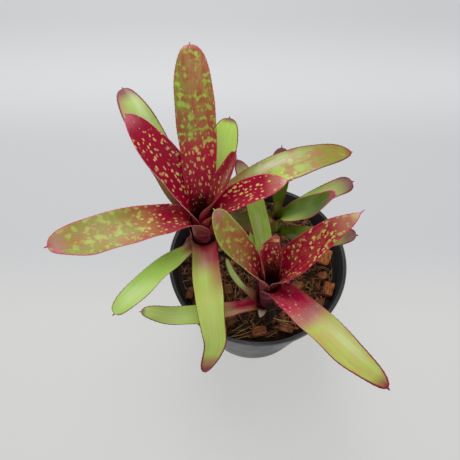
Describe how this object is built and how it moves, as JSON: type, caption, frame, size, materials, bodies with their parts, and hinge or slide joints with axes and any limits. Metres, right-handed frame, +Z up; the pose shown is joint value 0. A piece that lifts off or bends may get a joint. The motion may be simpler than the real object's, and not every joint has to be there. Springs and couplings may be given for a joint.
{
  "type": "neoregelia bromeliad",
  "caption": "Clump of a neoregelia bromeliad with strap leaves in rosettes, flecked crimson and green, growing in a plain round nursery pot of husk and bark.",
  "frame": {"origin": "centre of the pot's underside, on the surface it stands on", "axes": "+Z up, -Y towards the front of the plant, where the daughter rosette stands, +X to the right seen from the front"},
  "size_m": [0.1908, 0.1843, 0.2216],
  "materials": {
    "leaf_crimson": "satin",
    "leaf_mottled": "satin",
    "leaf_green": "satin",
    "leaf_olive": "satin",
    "dry_scale": "matte",
    "stem": "satin",
    "pot": "satin",
    "mix": "matte",
    "husk": "matte"
  },
  "bodies": {
    "root": {"daughter_dry_scale": "dry_scale", "daughter_leaf_01": "leaf_crimson", "daughter_leaf_02": "leaf_crimson", "daughter_leaf_03": "leaf_mottled", "daughter_leaf_04": "leaf_green", "daughter_leaf_05": "leaf_green", "daughter_leaf_06": "leaf_green", "daughter_leaf_07": "leaf_green", "daughter_leaf_08": "leaf_green", "daughter_stem": "stem", "husk_chip_01": "husk", "husk_chip_02": "husk", "husk_chip_03": "husk", "husk_chip_04": "husk", "husk_chip_05": "husk", "husk_chip_06": "husk", "husk_chip_07": "husk", "husk_chip_08": "husk", "husk_chip_09": "husk", "husk_chip_10": "husk", "husk_chip_11": "husk", "husk_chip_12": "husk", "husk_chip_13": "husk", "husk_chip_14": "husk", "husk_chip_15": "husk", "husk_chip_16": "husk", "mother_leaf_01": "leaf_crimson", "mother_leaf_02": "leaf_mottled", "mother_leaf_03": "leaf_crimson", "mother_leaf_04": "leaf_crimson", "mother_leaf_05": "leaf_mottled", "mother_leaf_06": "leaf_mottled", "mother_leaf_07": "leaf_green", "mother_leaf_08": "leaf_green", "mother_leaf_09": "leaf_green", "mother_leaf_10": "leaf_green", "mother_stem": "stem", "pot": "pot", "potting_mix": "mix", "pup_leaf_01": "leaf_olive", "pup_leaf_02": "leaf_olive", "pup_leaf_03": "leaf_green", "pup_leaf_04": "leaf_olive", "pup_leaf_05": "leaf_green", "pup_stem": "stem"}
  },
  "joints": []
}
